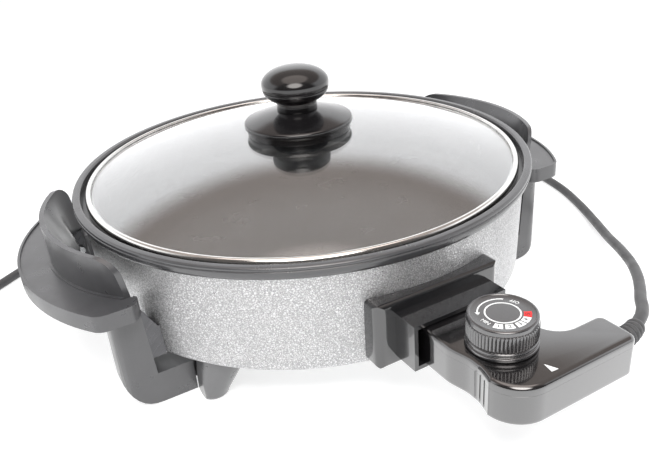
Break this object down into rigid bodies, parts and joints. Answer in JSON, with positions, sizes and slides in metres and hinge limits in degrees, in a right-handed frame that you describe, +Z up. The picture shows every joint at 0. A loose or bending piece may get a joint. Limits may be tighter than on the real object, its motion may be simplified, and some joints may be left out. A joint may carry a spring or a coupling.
{
  "type": "electric skillet",
  "caption": "Round electric skillet with glass dome lid, two handles on legs, tapered feet and a plug-in thermostat with dial and cord",
  "frame": {"origin": "on the table under the middle of everything but the cord, with the feet on z = 0", "axes": "+Z up, -Y towards the plug-in thermostat, X through both handles"},
  "size_m": [0.7389, 0.5433, 0.202],
  "materials": {
    "wall_paint": "silver-grey hammertone stove enamel outside, pale non-stick coat inside",
    "rim_black": "semi-gloss black enamel",
    "cover_sheet": "bare rolled sheet",
    "element_sheath": "dull oxidised heater sheath",
    "pin_plate": "nickel plated pins",
    "ceramic": "stands for glazed ceramic",
    "stainless": "polished stainless steel",
    "bracket_sheet": "smooth galvanised sheet",
    "socket_black": "glossy black thermoset",
    "handle_black": "satin black phenolic, faintly mottled",
    "screw_steel": "zinc plated",
    "rivet_alu": "bare aluminium",
    "lid_glass_clear": "clear tempered glass",
    "grommet_rubber": "black silicone",
    "knob_black": "glossy black phenolic",
    "brass": "plain turned brass",
    "case_black": "glossy black moulded case",
    "switch_brown": "brown phenolic block",
    "dial_black": "black with plain white printed numbers",
    "cord_black": "matt black flexible sheath",
    "tie_black": "black woven hook-and-loop strap",
    "plug_black": "satin black moulded plug"
  },
  "bodies": {
    "cooker": {"pan": "wall_paint", "rim_ring": "rim_black", "base_cover": "cover_sheet", "heating_element": "element_sheath", "contact_pins": "pin_plate", "pin_insulators": "ceramic", "sensor_well": "stainless", "connector_base": "socket_black", "connector_shroud": "socket_black", "connector_screws": "screw_steel", "handle_left": "handle_black", "handle_right": "handle_black", "bracket_left": "bracket_sheet", "bracket_right": "bracket_sheet", "bracket_rivets": "rivet_alu", "handle_screws": "screw_steel", "foot_front_left": "handle_black", "foot_front_right": "handle_black", "foot_rear_left": "handle_black", "foot_rear_right": "handle_black", "foot_screws": "screw_steel"},
    "lid": {"lid_glass": "lid_glass_clear", "lid_band": "stainless", "glass_grommet": "grommet_rubber", "knob_skirt": "knob_black", "knob": "knob_black", "knob_insert": "brass", "lid_collar": "knob_black", "lid_screw": "screw_steel"},
    "controller": {"controller_tub": "case_black", "controller_cover": "case_black", "thermostat": "switch_brown", "probe_rod": "stainless", "contact_sockets": "brass", "controller_screws": "screw_steel", "strain_relief": "cord_black", "cord": "cord_black", "cord_coil": "cord_black", "cord_tail": "cord_black", "cord_tie": "tie_black", "plug_body": "plug_black", "plug_pins": "pin_plate"},
    "dial": {"dial": "dial_black", "dial_spindle": "stainless"}
  },
  "joints": [
    {"name": "lid_lift", "type": "slide", "parent": "cooker", "child": "lid", "axis": [0, 0, 1], "range_m": [0, 0.15]},
    {"name": "controller_unplug", "type": "slide", "parent": "cooker", "child": "controller", "axis": [0, -1, 0], "range_m": [0, 0.07]},
    {"name": "dial_turn", "type": "hinge", "parent": "controller", "child": "dial", "pos_m": [0, -0.198, 0.09], "axis": [0, 0, 1], "range_deg": [-39, 260]}
  ]
}
